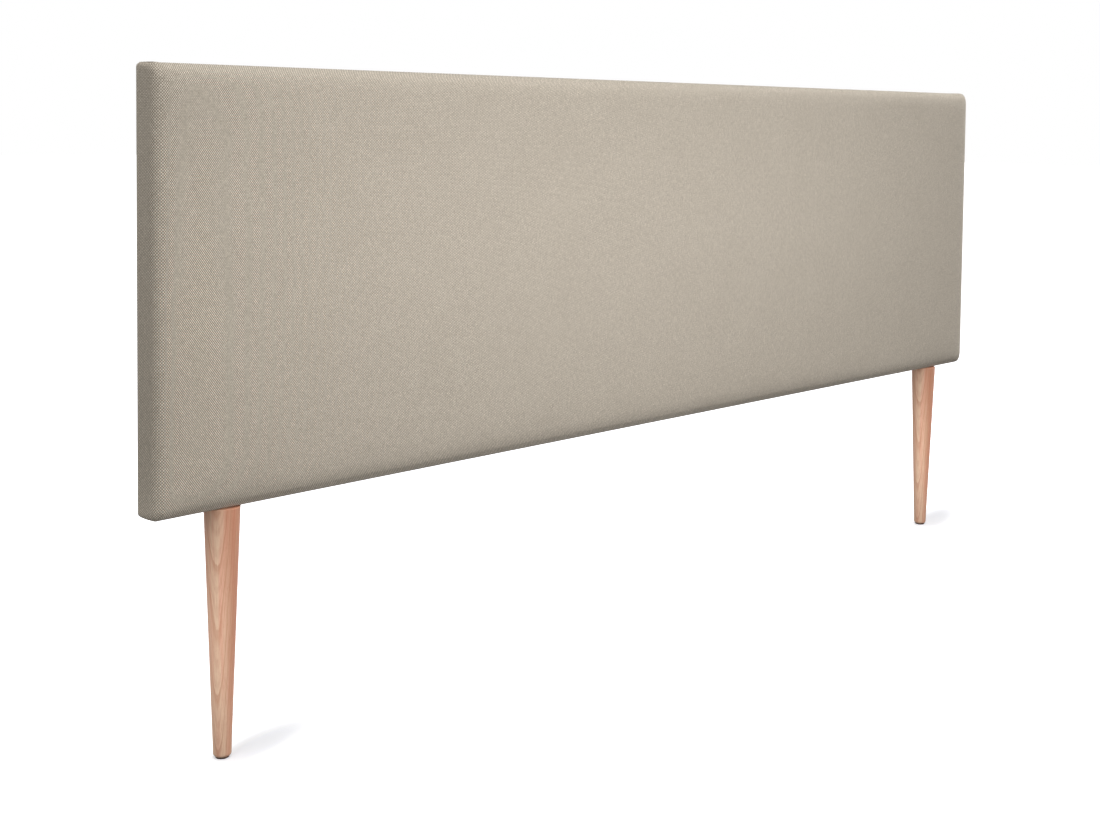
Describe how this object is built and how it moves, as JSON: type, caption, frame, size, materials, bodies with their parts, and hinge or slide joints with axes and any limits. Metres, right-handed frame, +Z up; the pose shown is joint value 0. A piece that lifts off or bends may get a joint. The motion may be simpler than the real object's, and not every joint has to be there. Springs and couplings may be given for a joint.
{
  "type": "upholstered headboard",
  "caption": "Long padded headboard with a plain woven cover over a wooden frame, on turned and tapered wooden legs.",
  "frame": {"origin": "on the floor below the middle of the headboard's bounding box", "axes": "+X along the length, to the right of someone who faces the front; +Y from the front to the back; +Z up"},
  "size_m": [2, 0.0576, 0.95],
  "materials": {
    "pine": "matte",
    "hardboard": "matte",
    "beech": "satin",
    "foam": "matte",
    "wadding": "matte",
    "cover_fabric": "matte",
    "dust_cloth": "matte",
    "zinc_steel": "satin",
    "pad_plastic": "matte"
  },
  "bodies": {
    "root": {"board_pins": "zinc_steel", "bottom_left_corner_block": "pine", "bottom_rail": "pine", "bottom_right_corner_block": "pine", "centre_upright": "pine", "cover_staples": "zinc_steel", "dust_cover": "dust_cloth", "dust_cover_staples": "zinc_steel", "fabric_cover": "cover_fabric", "face_board": "hardboard", "foam_pad": "foam", "foot_pad_nails": "zinc_steel", "frame_screws": "zinc_steel", "left_foot_pad": "pad_plastic", "left_keyhole_plate": "zinc_steel", "left_leg": "beech", "left_leg_bolt": "zinc_steel", "left_leg_insert": "zinc_steel", "left_stile": "pine", "left_upright": "pine", "plate_screws": "zinc_steel", "right_foot_pad": "pad_plastic", "right_keyhole_plate": "zinc_steel", "right_leg": "beech", "right_leg_bolt": "zinc_steel", "right_leg_insert": "zinc_steel", "right_stile": "pine", "right_upright": "pine", "top_left_corner_block": "pine", "top_rail": "pine", "top_right_corner_block": "pine", "wadding_layer": "wadding"}
  },
  "joints": []
}
